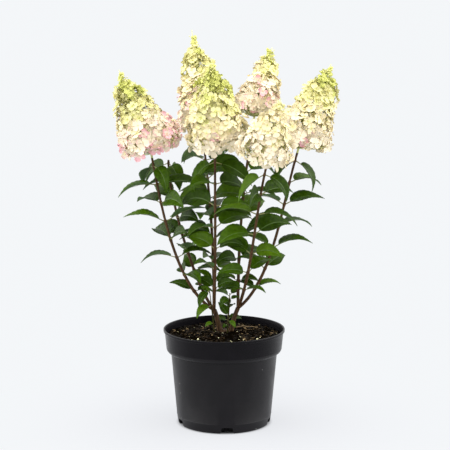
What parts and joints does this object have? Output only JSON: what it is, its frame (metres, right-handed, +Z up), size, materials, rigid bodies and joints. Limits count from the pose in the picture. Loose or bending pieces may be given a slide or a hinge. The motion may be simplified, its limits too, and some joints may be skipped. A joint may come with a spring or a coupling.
{
  "type": "potted hydrangea shrub",
  "caption": "Panicle hydrangea shrub in a round nursery pot: canes in opposite leaf pairs, each ending in a cone of blossom.",
  "frame": {"origin": "centre of the pot's flat underside", "axes": "+Z up along the plant, the pot's underside faces -Z, and the plant's broad front faces -Y with +X to its right"},
  "size_m": [0.4166, 0.3938, 0.744],
  "materials": {
    "pot_plastic": "charcoal-black moulded plastic, satin, with a light edge on the lip",
    "soil": "dark crumbled potting compost with bark chips and pale grains",
    "bark": "red-brown cane bark, peeling and lighter at the foot",
    "leaf": "mid-green serrate leaves with a soft sheen and paler veins",
    "petal": "matt petals, lime at the tip, cream below, blushed pink at the foot"
  },
  "bodies": {
    "root": {"basal_back": "leaf", "basal_front": "leaf", "basal_left": "leaf", "blossom_1": "petal", "blossom_3": "petal", "blossom_4": "petal", "blossom_5": "petal", "blossom_6": "petal", "blossom_7": "petal", "cane_1": "bark", "cane_2": "bark", "cane_3": "bark", "cane_4": "bark", "cane_5": "bark", "cane_6": "bark", "cane_7": "bark", "pot": "pot_plastic", "shoot_1_lower": "leaf", "shoot_1_upper": "leaf", "shoot_2_lower": "leaf", "shoot_2_upper": "leaf", "shoot_3_lower": "leaf", "shoot_3_upper": "leaf", "shoot_4_lower": "leaf", "shoot_4_upper": "leaf", "shoot_5_lower": "leaf", "shoot_5_upper": "leaf", "shoot_6_lower": "leaf", "shoot_6_upper": "leaf", "shoot_7_lower": "leaf", "shoot_7_upper": "leaf", "soil": "soil", "trunk": "bark"}
  },
  "joints": []
}
